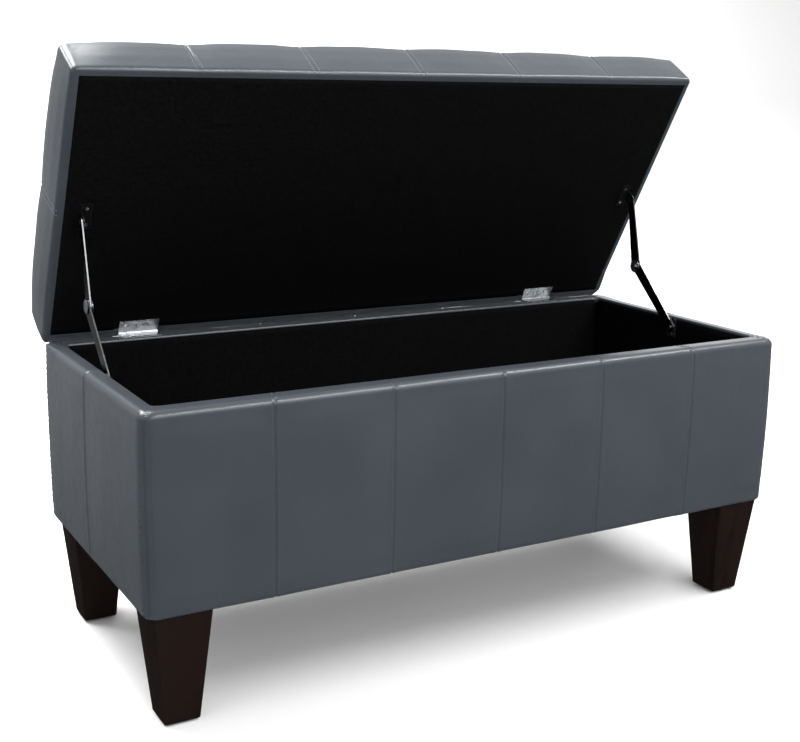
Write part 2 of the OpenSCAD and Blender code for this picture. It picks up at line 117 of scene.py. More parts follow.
def wood(name, dark, light, along, rough_low, rough_high, grain=60.0, coat=0.0):
    """Straight-grained timber: fine fibres and wide figure drawn out along one axis."""
    mat, shader = new_material(name, light, rough_high)
    stretch = [grain, grain, grain]
    stretch[along] = grain * 0.035
    fibre = noise(mat, place(mat, stretch), 4.0, 6.0, 0.6)
    stretch[along] = grain * 0.07
    figure = noise(mat, place(mat, [s * 0.22 for s in stretch]), 2.6, 3.0, 0.5)
    both = add_node(mat, "ShaderNodeMath", {0: fibre, 1: figure}, operation="ADD").outputs[0]
    feed(mat, shader, Base_Color=ramp(mat, both, 0.75, 1.3, dark, light),
         Roughness=spread(mat, fibre, 0.3, 0.75, rough_low, rough_high),
         Normal=bump(mat, fibre, 0.25, 0.0002))
    shader.inputs["Coat Weight"].default_value = coat
    shader.inputs["Coat Roughness"].default_value = 0.22
    return mat


def dress(nodes, material, bevel=0.0):
    """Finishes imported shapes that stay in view: material, eased edges and smooth curves."""
    for name in nodes:
        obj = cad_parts[name]
        obj.data.materials.clear()
        obj.data.materials.append(material)
        if bevel:
            edge = obj.modifiers.new("eased edges", "BEVEL")
            edge.width, edge.segments, edge.limit_method = bevel, 2, "ANGLE"
            edge.angle_limit = math.radians(35)
        for poly in obj.data.polygons:
            poly.use_smooth = True
        obj.modifiers.new("flat faces", "EDGE_SPLIT").split_angle = math.radians(32)


plywood = wood("plywood", (0.36, 0.22, 0.11), (0.62, 0.44, 0.26), 0, 0.6, 0.8)
dress(["front_panel", "rear_panel", "left_panel", "right_panel", "bottom_panel", "lid_board",
       "leg_block_front_left", "leg_block_front_right", "leg_block_rear_left", "leg_block_rear_right"],
      plywood, 0.0006)

# ------------------------------------------------------------------ sewn cover of the box
# Leatherette over thin foam: six panels across the front and back and two on each end, joined by seams
# sewn down on both sides. It wraps over the rim and under the box, where it is stapled.

MM = 0.001
box_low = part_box("cover_front")[0]
box_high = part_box("cover_rear")[1]
half_x, rear_y = box_high.x / MM, box_high.y / MM
mid_y = (box_low.y / MM + rear_y) / 2
half_y = rear_y - mid_y
bottom_z, top_z = box_low.z / MM, box_high.z / MM
room_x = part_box("lining_right")[0].x / MM
room_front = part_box("lining_front")[1].y / MM
room_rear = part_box("lining_rear")[0].y / MM
box_corner_r, room_corner_r = 18.0, 10.0
rim_w = 28.0
cover_t = 1.5
panel_w = 2 * half_x / 6
SIDES = {"front": ((1, 0), (0, -1)), "right": ((0, 1), (1, 0)),
         "rear": ((-1, 0), (0, 1)), "left": ((0, -1), (-1, 0))}


def ripple(p, length, seed):
    """Smooth random swell of about unit height at points p, with bumps about one length apart."""
    rng = np.random.default_rng(seed)
    total = np.zeros(p.shape[:-1])
    for _ in range(9):
        wave = rng.normal(size=3)
        wave *= rng.uniform(0.6, 1.5) * 2 * math.pi / (length * np.linalg.norm(wave))
        total += np.sin(p @ wave + rng.uniform(0, 6.28))
    return total / 3.0


def grid_faces(nu, nv, flip=False):
    """Quads of a grid of nu rows of nv points."""
    i, j = np.meshgrid(np.arange(nu - 1), np.arange(nv - 1), indexing="ij")
    a = (i * nv + j).ravel()
    quads = np.stack([a, a + nv, a + nv + 1, a + 1], 1)
    return quads[:, ::-1] if flip else quads


def add_mesh(name, points, faces, material, body, smooth=True):
    """A piece from points in millimetres."""
    mesh = bpy.data.meshes.new(name)
    mesh.from_pydata((np.asarray(points, float) * MM).tolist(), [], [list(map(int, f)) for f in faces])
    mesh.validate()
    obj = bpy.data.objects.new(name, mesh)
    bpy.context.scene.collection.objects.link(obj)
    mesh.materials.append(material)
    if smooth:
        mesh.polygons.foreach_set("use_smooth", [True] * len(mesh.polygons))
    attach(obj, body)
    return obj


def give_body(obj, thickness):
    """Gives a skin its thickness, inwards."""
    shell = obj.modifiers.new("thickness", "SOLIDIFY")
    shell.thickness, shell.offset, shell.use_even_offset = thickness * MM, -1, False


def mark_seams(obj, values):
    """How near each point is to a seam, which the leatherette reads to paint shade into the seams."""
    layer = obj.data.attributes.new("seam", "FLOAT", "POINT")
    layer.data.foreach_set("value", np.asarray(values, np.float32).ravel())


def s_straight(side):
    """Half the straight part of a side."""
    return (half_x if SIDES[side][0][0] else half_y) - box_corner_r


def s_end(side):
    """Half a side, to the middle of its corners."""
    return s_straight(side) + box_corner_r * math.pi / 4


def box_outline(side, s, half_l, half_w, radius, centre_y):
    """Points and outward directions along one side of a rounded rectangle, to the middle of each corner."""
    (dx, dy), (nx, ny) = SIDES[side]
    long_half, off = (half_l, half_w) if dx else (half_w, half_l)
    straight = long_half - radius
    reach = np.sign(s) * np.clip(np.abs(s) - s_straight(side), 0, None)
    turn = np.clip(reach / (box_corner_r * math.pi / 4), -1, 1) * math.pi / 4
    base = np.clip(s / s_straight(side), -1, 1) * straight
    d, n = np.array([dx, dy, 0.0]), np.array([nx, ny, 0.0])
    out = np.cos(turn)[..., None] * n + np.sin(turn)[..., None] * d
    point = base[..., None] * d + (off - radius) * n + radius * out + np.array([0, centre_y, 0])
    return point, out


def cover_section(edge_in, edge_down):
    """Cover cut through: the lip inside the rim, over it, down the face and under the box. Rows give the
    share of the rim's width from the outer face, and the height."""
    lip, quarter = 0.95, math.pi / 2
    rows = [(lip, top_z - 10.0), (lip, top_z - 5.0)]
    rows += [(lip - 0.14 * (1 - math.cos(a)), top_z - 4.0 * (1 - math.sin(a)))
             for a in np.linspace(0, quarter, 6)]
    rows += [(0.72, top_z), (0.55, top_z)]
    rows += [(edge_in * (1 - math.sin(a)), top_z - edge_down * (1 - math.cos(a)))
             for a in np.linspace(0, quarter, 9)]
    rows += [(0.28 - 0.28 * math.cos(a), bottom_z + 7.5 * (1 - math.sin(a)))
             for a in np.linspace(0, quarter, 7)]
    rows += [(0.8, bottom_z)]
    table = np.array(rows)
    lengths = np.hypot(np.diff(table[:, 0]) * rim_w, np.diff(table[:, 1]))
    return table, np.concatenate([[0], np.cumsum(lengths)])


SECTION, SECTION_AT = cover_section(0.4, 10.5)
REAR_SECTION, _ = cover_section(0.12, 3.0)
face_top_at = SECTION_AT[18]
face_low_at = SECTION_AT[19]
long_seams = [panel_w * k for k in range(-2, 3)]
seam_spots = {"front": long_seams, "rear": long_seams, "left": [-15.0], "right": [15.0]}


def seam_shape(gap, depth, width):
    """Dip at a seam with the cloth standing up a little on both sides of it."""
    dip = -depth * np.exp(-(gap / width) ** 2)
    return dip + 0.22 * depth * np.exp(-((gap - 3.4 * width) / (2.4 * width)) ** 2)


def box_surface(side, s, v):
    """Points of the cover at s along a side and v along the section, and the distance to the nearest seam."""
    outer, out = box_outline(side, s, half_x, half_y, box_corner_r, mid_y)
    tight = np.clip(1.4 - (rear_y - outer[..., 1]) / 50, 0, 1)

    def section_at(at):
        plain = [np.interp(at, SECTION_AT, SECTION[:, i]) for i in (0, 1)]
        rear = [np.interp(at, SECTION_AT, REAR_SECTION[:, i]) for i in (0, 1)]
        return [a * (1 - tight) + b * tight for a, b in zip(plain, rear)]

    (k, z), (k2, z2), (k1, z1) = section_at(v), section_at(v + 0.8), section_at(v - 0.8)
    t_in, t_z = (k2 - k1) * rim_w, z2 - z1
    size = np.hypot(t_in, t_z) + 1e-9
    inner, _ = box_outline(side, s, room_x, (room_rear - room_front) / 2, room_corner_r,
                           (room_rear + room_front) / 2)
    point = outer * (1 - k)[..., None] + inner * k[..., None]
    point[..., 2] = z
    normal = out * (-t_z / size)[..., None]
    normal[..., 2] = -t_in / size
    gap = np.min([np.abs(s - spot) for spot in seam_spots[side]], axis=0)
    end_gap = s_end(side) - np.abs(s)
    near = np.maximum(np.minimum(gap, end_gap), 0.0)
    height = np.clip((z - bottom_z) / (top_z - bottom_z), 0, 1)
    face = np.clip((v - face_top_at) / 20, 0, 1) * np.clip((face_low_at - v) / 20, 0, 1)
    rise = seam_shape(gap, 0.7, 1.5) + seam_shape(end_gap, 0.35, 2.0)
    puff = 0.9 * (1 - np.exp(-(near / 34.0) ** 1.4)) - 0.4
    bow = 2.2 * (1 - (2 * height - 1) ** 2)
    rise = rise + face * puff
    rise = rise + face * bow
    pleat = np.sin(z / 5.0 + 3.0 * ripple(point, 40, 3)) * np.exp(-near / 8.0) * ripple(point, 50, 4)
    rise = rise + face * 0.12 * pleat + 0.22 * face * ripple(point * [1, 1, 0.5], 90, 5)
    rise = rise + 0.05 * ripple(point, 30, 8) * (0.4 + face) + 0.2 * ripple(point * [1, 1, 0.3], 150, 11)
    rise = rise * np.interp(k, [0.25, 0.4, 0.85, 1.0], [1.0, 0.4, 0.4, 0.15])
    return point + normal * rise[..., None], near


def stretch_between(marks, coarse, fine, reach):
    """Places from the first mark to the last, closer together near every mark."""
    places = [marks[0]]
    while places[-1] < marks[-1] - 1e-6:
        near = min(abs(places[-1] - m) for m in marks)
        places.append(min(places[-1] + (fine if near < reach else coarse), marks[-1]))
        ahead = [m for m in marks if places[-2] < m < places[-1]]
        if ahead:
            places[-1] = ahead[0]
    return np.array(places)


def mirrored(marks, coarse, fine, reach):
    """The same places on both sides of the middle."""
    half = stretch_between([m for m in marks if m >= 0], coarse, fine, reach)
    return np.concatenate([-half[:0:-1], half])


def leatherette(name, base, seam_shade):
    """Coated cloth with a fine pebble grain, faint creases and a soft gloss, with painted shade darkening it
    down in the seams.
    """
    mat, shader = new_material(name, base, 0.36)
    where = place(mat)
    warp = noise(mat, where, 130.0, 2.0)
    pebbles = add_node(mat, "ShaderNodeTexVoronoi", {"Vector": where, "Scale": 620.0, "Randomness": 0.95},
                       feature="F1").outputs["Distance"]
    fine = noise(mat, where, 900.0, 3.0)
    crease = noise(mat, place(mat, (1.0, 1.0, 0.8)), 17.0, 3.0, 0.5)
    from_line = add_node(mat, "ShaderNodeMath", {0: crease, 1: 0.5}, operation="SUBTRACT").outputs[0]
    crease_gap = add_node(mat, "ShaderNodeMath", {0: from_line}, operation="ABSOLUTE").outputs[0]
    crease_line = spread(mat, crease_gap, 0.0, 0.06, 0.0, 1.0)
    cloud = noise(mat, where, 7.0, 4.0)
    seam_shade_weight = add_node(mat, "ShaderNodeAttribute", attribute_name="seam").outputs["Fac"]
    tone = ramp(mat, cloud, 0.3, 0.75, [c * 0.9 for c in base], [c * 1.1 for c in base])
    # Painted shade: the colour is mixed towards the seam shade colour where the seam weight is high, standing
    # in for shade in the seam grooves.
    painted_seam_shade = add_node(mat, "ShaderNodeMix", {0: spread(mat, seam_shade_weight, 0.35, 1.0, 0.0, 0.35)},
                        data_type="RGBA", blend_type="MIX")
    mat.node_tree.links.new(tone, painted_seam_shade.inputs[6])
    painted_seam_shade.inputs[7].default_value = (*seam_shade, 1)
    low = bump(mat, crease_line, 0.12, 0.0008)
    grain = bump(mat, pebbles, 0.14, 0.0003, low)
    top = bump(mat, fine, 0.05, 0.0002, grain)
    patches = add_node(mat, "ShaderNodeMath", {0: cloud, 1: warp}, operation="ADD").outputs[0]
    feed(mat, shader, Base_Color=painted_seam_shade.outputs[2], Normal=top,
         Roughness=spread(mat, patches, 0.3, 1.7, 0.24, 0.42))
    shader.inputs["Specular IOR Level"].default_value = 0.42
    shader.inputs["Coat Weight"].default_value = 0.08
    shader.inputs["Coat Roughness"].default_value = 0.2
    shader.inputs["Sheen Weight"].default_value = 0.04
    return mat


slate = leatherette("slate leatherette", (0.032, 0.039, 0.0475), (0.014, 0.0165, 0.021))

for side in SIDES:
    marks = sorted([-s_end(side), s_end(side)] + seam_spots[side])
    s_places = stretch_between(marks, 4.0, 1.0, 9.0)
    v_places = np.unique(np.concatenate([SECTION_AT, np.arange(face_top_at, face_low_at, 3.5)]).round(3))
    s_grid, v_grid = np.meshgrid(s_places, v_places, indexing="ij")
    points, near = box_surface(side, s_grid, v_grid)
    cover = add_mesh("cover_" + side, points.reshape(-1, 3), grid_faces(len(s_places), len(v_places), True),
                     slate, "box")
    mark_seams(cover, np.exp(-(near / 1.6) ** 2))
    give_body(cover, cover_t)
    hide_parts("cover_" + side)

# ------------------------------------------------------------------ stitching
# Strong thread in the cover's own colour, sewn down each side of every seam, with short stitches that
# dip into the cover at both ends.


def thread_run(points, normals, pitch, length, radius):
    """Stitches along a line on a surface: lists of points and faces."""
    step = np.concatenate([[0], np.cumsum(np.linalg.norm(np.diff(points, axis=0), axis=1))])
    count = int(step[-1] // pitch)
    half_stitch = [(0.12, 0.5, 1.0), (0.38, 0.15, 0.9), (0.5, -0.9, 0.55)]
    shape = [(-t, lift, fat) for t, lift, fat in half_stitch[::-1]] + half_stitch
    verts, faces = [], []
    around = np.linspace(0, 2 * math.pi, 7)[:-1]
    for n in range(count):
        at = (n + 0.5) * step[-1] / count
        here = np.array([np.interp(at, step, points[:, i]) for i in range(3)])
        ahead = np.array([np.interp(at + 0.5, step, points[:, i]) for i in range(3)])
        back = np.array([np.interp(at - 0.5, step, points[:, i]) for i in range(3)])
        up = np.array([np.interp(at, step, normals[:, i]) for i in range(3)])
        along = (ahead - back) / max(np.linalg.norm(ahead - back), 1e-9)
        up = up / np.linalg.norm(up)
        wide = np.cross(along, up)
        start = len(verts)
        for t, lift, fat in shape:
            middle = here + along * t * length + up * lift * radius
            for a in around:
                verts.append(middle + radius * fat * (math.cos(a) * wide + math.sin(a) * up))
        for r in range(len(shape) - 1):
            for a in range(6):
                b = (a + 1) % 6
                low, high = start + r * 6, start + (r + 1) * 6
                faces.append([low + a, low + b, high + b, high + a])
        faces.append([start + a for a in range(5, -1, -1)])
        faces.append([start + (len(shape) - 1) * 6 + a for a in range(6)])
    return verts, faces


def lines_on(surface, first, second):
    """Points and outward normals where two coordinate arrays run over a surface function."""
    here = surface(first, second)[0]
    e = 0.5
    du = surface(first + e, second)[0] - surface(first - e, second)[0]
    dv = surface(first, second + e)[0] - surface(first, second - e)[0]
    normal = np.cross(dv, du)
    return here, normal / np.maximum(np.linalg.norm(normal, axis=-1, keepdims=True), 1e-9)


def sew(name, runs, body, material, pitch=5.2, length=3.7, radius=0.42):
    """One piece of thread from several lines."""
    verts, faces = [], []
    for points, normals in runs:
        more, quads = thread_run(points, normals, pitch, length, radius)
        faces += [[i + len(verts) for i in q] for q in quads]
        verts += more
    return add_mesh(name, verts, faces, material, body)


thread_mat, thread_shader = new_material("thread", (0.11, 0.13, 0.135), 0.5)
twist = add_node(thread_mat, "ShaderNodeTexWave",
                 {"Vector": place(thread_mat), "Scale": 900.0, "Distortion": 2.0},
                 bands_direction="DIAGONAL").outputs["Fac"]
feed(thread_mat, thread_shader, Normal=bump(thread_mat, twist, 0.5, 0.0002),
     Base_Color=ramp(thread_mat, noise(thread_mat, place(thread_mat), 40.0), 0.3, 0.7,
                     (0.085, 0.1, 0.105), (0.14, 0.165, 0.17)))
thread_shader.inputs["Sheen Weight"].default_value = 0.2

dull_thread = leatherette("dull thread", (0.052, 0.062, 0.074), (0.03, 0.035, 0.04))
box_stitch_gap, corner_stitch_gap = 4.2, 8.5

for side in SIDES:
    def this_side(s, v, side=side):
        return box_surface(side, s, v)
    rows = []
    v_line = np.arange(SECTION_AT[4], SECTION_AT[-2], 2.0)
    for spot in seam_spots[side]:
        for shift in (-box_stitch_gap, box_stitch_gap):
            rows.append(lines_on(this_side, np.full_like(v_line, spot + shift), v_line))
    sew("stitches_" + side, rows, "box", dull_thread)
    rows = [lines_on(this_side, np.full_like(v_line, end * (s_end(side) - corner_stitch_gap)), v_line)
            for end in (-1, 1)]
    sew("corner_stitches_" + side, rows, "box", slate, 9.0, 4.0, 0.5)

# short cross stitches that close the mitre at each corner of the rim
mitre_rows = []
for side in ("front", "rear"):
    def this_side(s, v, side=side):
        return box_surface(side, s, v)
    for end in (-1, 1):
        for n, v in enumerate(np.linspace(SECTION_AT[9], SECTION_AT[15], 5)):
            s_cross = end * (s_end(side) + np.linspace(-5.6, -0.2, 6))
            mitre_rows.append(lines_on(this_side, s_cross, np.full(6, v + 0.8 * n % 2)))
sew("mitre_stitches", mitre_rows, "box", thread_mat, 4.5, 4.2, 0.5)

# ------------------------------------------------------------------ foam on the walls
# One sheet of thin upholstery foam to each wall, glued to the board and turned a little way round the
# corners, so that the cover lies soft over the edges.

foam_mat, foam_shader = new_material("foam", (0.78, 0.72, 0.5), 0.9)
cells = add_node(foam_mat, "ShaderNodeTexVoronoi",
                 {"Vector": place(foam_mat), "Scale": 420.0}).outputs["Distance"]
feed(foam_mat, foam_shader, Normal=bump(foam_mat, cells, 0.6, 0.0006),
     Base_Color=ramp(foam_mat, noise(foam_mat, place(foam_mat), 14.0), 0.3, 0.7,
                     (0.7, 0.63, 0.4), (0.84, 0.78, 0.56)))

for side in SIDES:
    low, high = (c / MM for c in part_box("foam_" + side))
    s_places = np.linspace(-s_end(side), s_end(side), 60)
    z_places = np.linspace(low.z + 3, high.z - 4, 12)
    depth = min(high.x - low.x, high.y - low.y)
    skins = []
    for inset in (3.6, 2.0 + depth):
        line, _ = box_outline(side, s_places, half_x - inset, half_y - inset,
                              max(box_corner_r - inset, 1.0), mid_y)
        skins.append(np.stack([np.column_stack([line[:, :2], np.full(len(line), z)]) for z in z_places], 1))
    skins[0][..., 2] += 0.2 * ripple(skins[0], 40, 21)
    points = np.concatenate([skin.reshape(-1, 3) for skin in skins])
    n_s, n_z = len(s_places), len(z_places)
    faces = [list(q) for q in grid_faces(n_s, n_z)]
    faces += [list(q + n_s * n_z) for q in grid_faces(n_s, n_z, True)]
    rim = ([(i, 0) for i in range(n_s)] + [(n_s - 1, j) for j in range(1, n_z)]
           + [(i, n_z - 1) for i in range(n_s - 2, -1, -1)] + [(0, j) for j in range(n_z - 2, 0, -1)])
    for (i, j), (p, q) in zip(rim, rim[1:] + rim[:1]):
        a, b = i * n_z + j, p * n_z + q
        faces.append([b, a, a + n_s * n_z, b + n_s * n_z])
    foam = add_mesh("foam_" + side, points, faces, foam_mat, "box")
    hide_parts("foam_" + side)

# ------------------------------------------------------------------ black lining
# Thin black non-woven cloth, stapled over the turned-in edge of the cover on all four walls and laid
# on the floor. A lighter piece of it, stapled underneath, closes the bottom against dust.

cloth_mat, cloth_shader = new_material("black lining", (0.006, 0.006, 0.007), 0.85)
threads = [add_node(cloth_mat, "ShaderNodeTexWave",
                    {"Vector": place(cloth_mat), "Scale": 520.0, "Distortion": 0.6},
                    bands_direction=way).outputs["Fac"] for way in ("X", "Z")]
weave = add_node(cloth_mat, "ShaderNodeMath", {0: threads[0], 1: threads[1]}, operation="MULTIPLY").outputs[0]
lint = noise(cloth_mat, place(cloth_mat), 240.0, 5.0)
feed(cloth_mat, cloth_shader, Normal=bump(cloth_mat, weave, 0.3, 0.0003, bump(cloth_mat, lint, 0.2, 0.0005)),
     Base_Color=ramp(cloth_mat, lint, 0.35, 0.8, (0.0014, 0.0014, 0.0016), (0.0042, 0.0042, 0.0045)))
cloth_shader.inputs["Specular IOR Level"].default_value = 0.04


def cloth_panel(name, corner, across, up, wide, high, normal, thick, seed, sag=0.5):
    """A stapled cloth panel: flat at its edges, a little slack and rippled between them."""
    nu, nv = max(int(wide / 9), 8), max(int(high / 9), 8)
    u, v = np.meshgrid(np.linspace(0, 1, nu), np.linspace(0, 1, nv), indexing="ij")
    points = corner + u[..., None] * wide * across + v[..., None] * high * up
    free = (16 * u * (1 - u) * v * (1 - v)) ** 0.35
    slack = 0.4 * ripple(points, 110, seed) + 0.25 * ripple(points * [1.0, 1.0, 0.3], 45, seed + 1)
    rise = free * sag * slack
    from_edge = np.minimum(v, 1 - v) * high
    pulls = np.exp(-from_edge / 16) * np.sin(u * wide / 8.5 + 2 * ripple(points, 130, seed + 2))
    rise = rise + 0.3 * sag * pulls * np.clip(from_edge / 3, 0, 1)
    points = points + rise[..., None] * normal
    flip = float(np.dot(np.cross(across, up), normal)) < 0
    obj = add_mesh(name, points.reshape(-1, 3), grid_faces(nu, nv, flip), cloth_mat, "box")
    give_body(obj, thick)
    return obj


X, Y, Z = np.eye(3)
_, floor_high = (np.array(c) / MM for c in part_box("lining_floor"))
wall_low, wall_top = floor_high[2] - 0.5, top_z - 4.0
wall_h = wall_top - wall_low
long_w, short_w = 2 * room_x, room_rear - room_front
lining = [
    ("lining_front", [-room_x - 1.5, room_front, wall_low], X, long_w + 3, Y, 31),
    ("lining_rear", [-room_x - 1.5, room_rear, wall_low], X, long_w + 3, -Y, 35),
    ("lining_left", [-room_x, room_front - 1.5, wall_low], Y, short_w + 3, X, 39),
    ("lining_right", [room_x, room_front - 1.5, wall_low], Y, short_w + 3, -X, 43),
]
for name, corner, across, wide, inward, seed in lining:
    wall = cloth_panel(name, np.array(corner) - 0.5 * inward, across, Z, wide, wall_h, inward, 1.0, seed)
    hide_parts(name)

floor_cloth = cloth_panel("lining_floor", np.array([-room_x, room_front, floor_high[2] - 0.4]), X, Y,
                          long_w, short_w, Z, 1.0, 47, 0.8)
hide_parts("lining_floor")

dust_low, dust_high = (np.array(c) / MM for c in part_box("dust_cover"))
dust_wide, dust_deep = dust_high[0] - dust_low[0], dust_high[1] - dust_low[1]
dust = cloth_panel("dust_cover", dust_low + 0.2 * Z, X, Y, dust_wide, dust_deep, -Z, 0.8, 51, 0.25)
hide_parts("dust_cover")

# ------------------------------------------------------------------ legs
# Solid hardwood sawn to a square taper, edges eased, stained espresso. One bolt up through each leg
# pulls it against its corner block by a tee nut, and a plastic glide is pressed into its foot.

espresso = wood("espresso wood", (0.0052, 0.0026, 0.0021), (0.0105, 0.0051, 0.0041), 2, 0.3, 0.42, 95.0, 0.1)
espresso.node_tree.nodes["Principled BSDF"].inputs["Specular IOR Level"].default_value = 0.2


def square_ring(half, radius, z, n=5):
    """Points round a square with rounded corners."""
    ring = []
    for sx, sy, start in ((1, 1, 0), (-1, 1, 90), (-1, -1, 180), (1, -1, 270)):
        for a in np.radians(np.linspace(start, start + 90, n)):
            ring.append([sx * (half - radius) + radius * math.cos(a),
                         sy * (half - radius) + radius * math.sin(a), z])
    return ring


def lofted(rings):
    """A closed solid from rings of equal count, the first and last filled in."""
    n = len(rings[0])
    points = np.array(rings).reshape(-1, 3)
    faces = [[r * n + i, r * n + (i + 1) % n, (r + 1) * n + (i + 1) % n, (r + 1) * n + i]
             for r in range(len(rings) - 1) for i in range(n)]
    faces.append([i for i in range(n - 1, -1, -1)])
    faces.append([(len(rings) - 1) * n + i for i in range(n)])
    return points, faces


leg_top_half, leg_foot_half, leg_edge_r = 40.0, 25.0, 1.8
for corner in ("front_left", "front_right", "rear_left", "rear_right"):
    low, high = (np.array(c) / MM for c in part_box("leg_" + corner))
    centre, tall = (low + high) / 2, high[2] - low[2]
    rings = []
    for z in [0.0, 0.6, 1.6, 4.0] + list(np.linspace(12, tall - 0.4, 16)) + [tall]:
        share = z / tall
        half = leg_foot_half + (leg_top_half - leg_foot_half) * share - max(0, 1.6 - z) * 0.7
        rings.append(square_ring(half, leg_edge_r, low[2] + z))
    points, faces = lofted(rings)
    points[:, :2] += centre[:2]
    leg = add_mesh("leg_" + corner, points, faces, espresso, "box")
    leg.modifiers.new("flat faces", "EDGE_SPLIT").split_angle = math.radians(60)
    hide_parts("leg_" + corner)

glide_mat, glide_shader = new_material("black plastic", (0.012, 0.012, 0.013), 0.55)
feed(glide_mat, glide_shader, Normal=bump(glide_mat, noise(glide_mat, place(glide_mat), 500.0), 0.15, 0.0002),
     Roughness=spread(glide_mat, noise(glide_mat, place(glide_mat), 60.0), 0.3, 0.7, 0.45, 0.65))
zinc, zinc_shader = new_material("zinc plate", (0.62, 0.64, 0.66), 0.3, 1.0)
brush = noise(zinc, place(zinc, (40, 900, 900)), 3.0, 4.0)
bloom = noise(zinc, place(zinc), 90.0, 5.0)
feed(zinc, zinc_shader, Normal=bump(zinc, brush, 0.12, 0.0001),
     Roughness=spread(zinc, bloom, 0.3, 0.75, 0.2, 0.42),
     Base_Color=ramp(zinc, bloom, 0.3, 0.7, (0.33, 0.345, 0.36), (0.52, 0.53, 0.545)))
dress(["leg_glides"], glide_mat, 0.0006)
dress(["leg_bolts", "leg_tee_nuts"], zinc)

# ------------------------------------------------------------------ lid cushion and its cover
# A plywood lid with thick foam on it, under a sewn leatherette cover of six panels by two. The cover is
# pulled down over the edges and stapled underneath, so the panels puff up between the seams.

PIN_Y, PIN_Z = 199.14, 439.0
LID_TURN = math.radians(61)
lid_back, lid_front = -3.2, -461.2
lid_mid = (lid_back + lid_front) / 2
lid_half = (lid_back - lid_front) / 2
lid_corner_r = 8.0
lid_under_r = 5.5
fold_in = 16.0
hinge_x, hinge_half = 384.0, 34.0
# how far the cushion pushes the band out, by place up its section: all round, and over the hinges
side_bulge = ([1.6, 2.0, 2.4, 2.8, 3.2, 3.6, 4.0], [0.0, 1.0, 3.6, 4.6, 3.4, 1.2, 0.0])
rear_bulge = ([1.35, 1.6, 1.8, 2.0, 2.12, 2.4, 2.7, 3.0, 3.4, 4.0],
              [0.0, 3.6, 8.0, 13.5, 17.0, 17.5, 15.0, 10.5, 3.0, 0.0])


def on_lid(points):
    """Lid drawn flat, its underside at z = 0 and the hinge pin at y = 0, set open as it stands."""
    p = np.array(points, float)
    y, z = p[..., 1].copy(), p[..., 2] + 2.0
    p[..., 1] = PIN_Y + y * math.cos(LID_TURN) + z * math.sin(LID_TURN)
    p[..., 2] = PIN_Z - y * math.sin(LID_TURN) + z * math.cos(LID_TURN)
    return p


def turned(normals):
    """The same turn for directions."""
    n = np.array(normals, float)
    y, z = n[..., 1].copy(), n[..., 2].copy()
    n[..., 1] = y * math.cos(LID_TURN) + z * math.sin(LID_TURN)
    n[..., 2] = -y * math.sin(LID_TURN) + z * math.cos(LID_TURN)
    return n


def lid_height(x, y):
    """Height of the cushion: low at the corners, higher along the edges and highest in the middle."""
    along = 1 - np.clip(np.abs(x / half_x), 0, 1) ** 2.4
    across = 1 - np.clip(np.abs((y - lid_mid) / lid_half), 0, 1) ** 2.4
    return 68.0 + 11.0 * along + 14.0 * across


def lid_plan(side, s, inset):
    """Plan point and outward direction at s along a side, set in from the edge. Past the straight part,
    s turns the corner."""
    (dx, dy), (nx, ny) = SIDES[side]
    long_half, off = (half_x, lid_half) if dx else (lid_half, half_x)
    straight = long_half - lid_corner_r
    turn = np.sign(s) * np.clip((np.abs(s) - straight) / lid_corner_r, 0, math.pi / 4)
    base = np.clip(s, -straight, straight)
    d, n = np.array([dx, dy, 0.0]), np.array([nx, ny, 0.0])
    out = np.cos(turn)[..., None] * n + np.sin(turn)[..., None] * d
    arc = np.where(np.abs(s) > straight, lid_corner_r - np.minimum(inset, lid_corner_r), 0.0)
    flat_in = np.where(np.abs(s) > straight, lid_corner_r, inset)
    point = base[..., None] * d + (off - flat_in)[..., None] * n + arc[..., None] * out
    return point + np.array([0, lid_mid, 0]), out


def lid_cloth(p, rise_share):
    """Puff, seams and creases of the cover at points p, and the distance to the nearest seam."""
    gap_x = np.min([np.abs(p[..., 0] - panel_w * k) for k in range(-2, 3)], axis=0)
    gap_y = np.abs(p[..., 1] - lid_mid)
    near = np.minimum(gap_x, gap_y)
    puff = 4.2 * (1 - np.exp(-(near / 34.0) ** 1.4)) - 2.6
    seam = seam_shape(gap_x, 1.0, 1.7) + seam_shape(gap_y, 1.0, 1.7)
    pleat = 0
    for along, gap, bend, fade in ((1, gap_x, 61, 65), (0, gap_y, 62, 66)):
        waves = np.sin(p[..., along] / 5.0 + 3.0 * ripple(p, 40, bend))
        pleat = pleat + waves * np.exp(-gap / 9.0) * ripple(p, 60, fade)
    slack = 0.5 * ripple(p, 110, 63) + 0.12 * ripple(p, 38, 64)
    return (puff + seam + 0.16 * pleat + slack) * rise_share, near


def tuck(x):
    """How far the folded edge of the cover hangs under the back of the lid, clear of the two hinges."""
    return 3.2 * np.clip((np.abs(np.abs(x) - hinge_x) - hinge_half) / 6.0, 0, 1)


